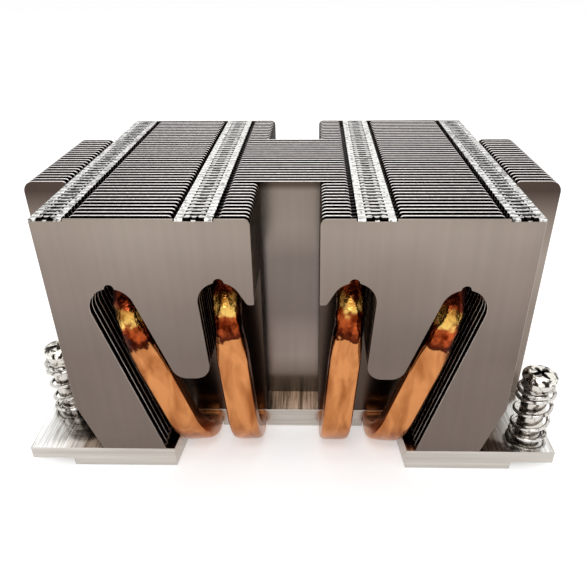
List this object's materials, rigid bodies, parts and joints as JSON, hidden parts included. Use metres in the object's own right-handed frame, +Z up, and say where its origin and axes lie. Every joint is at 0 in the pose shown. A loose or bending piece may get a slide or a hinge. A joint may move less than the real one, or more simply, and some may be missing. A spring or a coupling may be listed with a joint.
{
  "type": "passive server cpu heatsink",
  "caption": "Passive server CPU heatsink: notched base with screw ears, heat pipes rising through a stack of slotted and full-width folded fins, and spring-loaded captive screws.",
  "frame": {"origin": "bottom centre of the contact face, in the middle of the base", "axes": "+X to the right over the screw ears, +Y from the recessed front edge to the rear, +Z up along the fins"},
  "size_m": [0.118, 0.078, 0.0596],
  "materials": {
    "base_aluminium": "milled and lightly brushed",
    "fin_aluminium": "rolled sheet, bright folds",
    "copper": "polished copper, hammered at the bends",
    "plated_steel": "nickel plated",
    "spring_steel": "bright spring wire",
    "ring_steel": "plain steel"
  },
  "bodies": {
    "heatsink": {"base_plate": "base_aluminium", "front_fins_left": "fin_aluminium", "front_fins_right": "fin_aluminium", "inner_heat_pipe_left": "copper", "inner_heat_pipe_right": "copper", "outer_heat_pipe_left": "copper", "outer_heat_pipe_right": "copper", "rear_fins_left": "fin_aluminium", "rear_fins_right": "fin_aluminium", "screw_spring_front_left": "spring_steel", "screw_spring_front_right": "spring_steel", "screw_spring_rear_left": "spring_steel", "screw_spring_rear_right": "spring_steel", "slotted_fin_left_01": "fin_aluminium", "slotted_fin_left_02": "fin_aluminium", "slotted_fin_left_03": "fin_aluminium", "slotted_fin_left_04": "fin_aluminium", "slotted_fin_left_05": "fin_aluminium", "slotted_fin_left_06": "fin_aluminium", "slotted_fin_left_07": "fin_aluminium", "slotted_fin_left_08": "fin_aluminium", "slotted_fin_right_01": "fin_aluminium", "slotted_fin_right_02": "fin_aluminium", "slotted_fin_right_03": "fin_aluminium", "slotted_fin_right_04": "fin_aluminium", "slotted_fin_right_05": "fin_aluminium", "slotted_fin_right_06": "fin_aluminium", "slotted_fin_right_07": "fin_aluminium", "slotted_fin_right_08": "fin_aluminium", "wing_fin_01": "fin_aluminium", "wing_fin_02": "fin_aluminium", "wing_fin_03": "fin_aluminium", "wing_fin_04": "fin_aluminium", "wing_fin_05": "fin_aluminium", "wing_fin_06": "fin_aluminium", "wing_fin_07": "fin_aluminium", "wing_fin_08": "fin_aluminium", "wing_fin_09": "fin_aluminium", "wing_fin_10": "fin_aluminium", "wing_fin_11": "fin_aluminium", "wing_fin_12": "fin_aluminium", "wing_fin_13": "fin_aluminium", "wing_fin_14": "fin_aluminium", "wing_fin_15": "fin_aluminium", "wing_fin_16": "fin_aluminium", "wing_fin_17": "fin_aluminium", "wing_fin_18": "fin_aluminium", "wing_fin_19": "fin_aluminium", "wing_fin_20": "fin_aluminium"},
    "ring_front_left": {"retaining_ring_front_left": "ring_steel"},
    "screw_front_left": {"captive_screw_front_left": "plated_steel"},
    "ring_front_right": {"retaining_ring_front_right": "ring_steel"},
    "screw_front_right": {"captive_screw_front_right": "plated_steel"},
    "ring_rear_left": {"retaining_ring_rear_left": "ring_steel"},
    "screw_rear_left": {"captive_screw_rear_left": "plated_steel"},
    "ring_rear_right": {"retaining_ring_rear_right": "ring_steel"},
    "screw_rear_right": {"captive_screw_rear_right": "plated_steel"}
  },
  "joints": [
    {"name": "screw_press_front_left", "type": "slide", "parent": "heatsink", "child": "ring_front_left", "axis": [0, 0, 1], "range_m": [-0.004, 0], "stiffness_N_per_m": 1500, "springref_m": 0.001, "deforming": ["screw_spring_front_left"]},
    {"name": "screw_turn_front_left", "type": "hinge", "parent": "ring_front_left", "child": "screw_front_left", "pos_m": [-0.0544, -0.0234, 0.005], "axis": [0, 0, 1], "continuous": true},
    {"name": "screw_press_front_right", "type": "slide", "parent": "heatsink", "child": "ring_front_right", "axis": [0, 0, 1], "range_m": [-0.004, 0], "stiffness_N_per_m": 1500, "springref_m": 0.001, "deforming": ["screw_spring_front_right"]},
    {"name": "screw_turn_front_right", "type": "hinge", "parent": "ring_front_right", "child": "screw_front_right", "pos_m": [0.0544, -0.0328, 0.005], "axis": [0, 0, 1], "continuous": true},
    {"name": "screw_press_rear_left", "type": "slide", "parent": "heatsink", "child": "ring_rear_left", "axis": [0, 0, 1], "range_m": [-0.004, 0], "stiffness_N_per_m": 1500, "springref_m": 0.001, "deforming": ["screw_spring_rear_left"]},
    {"name": "screw_turn_rear_left", "type": "hinge", "parent": "ring_rear_left", "child": "screw_rear_left", "pos_m": [-0.0544, 0.0328, 0.005], "axis": [0, 0, 1], "continuous": true},
    {"name": "screw_press_rear_right", "type": "slide", "parent": "heatsink", "child": "ring_rear_right", "axis": [0, 0, 1], "range_m": [-0.004, 0], "stiffness_N_per_m": 1500, "springref_m": 0.001, "deforming": ["screw_spring_rear_right"]},
    {"name": "screw_turn_rear_right", "type": "hinge", "parent": "ring_rear_right", "child": "screw_rear_right", "pos_m": [0.0544, 0.0234, 0.005], "axis": [0, 0, 1], "continuous": true}
  ]
}
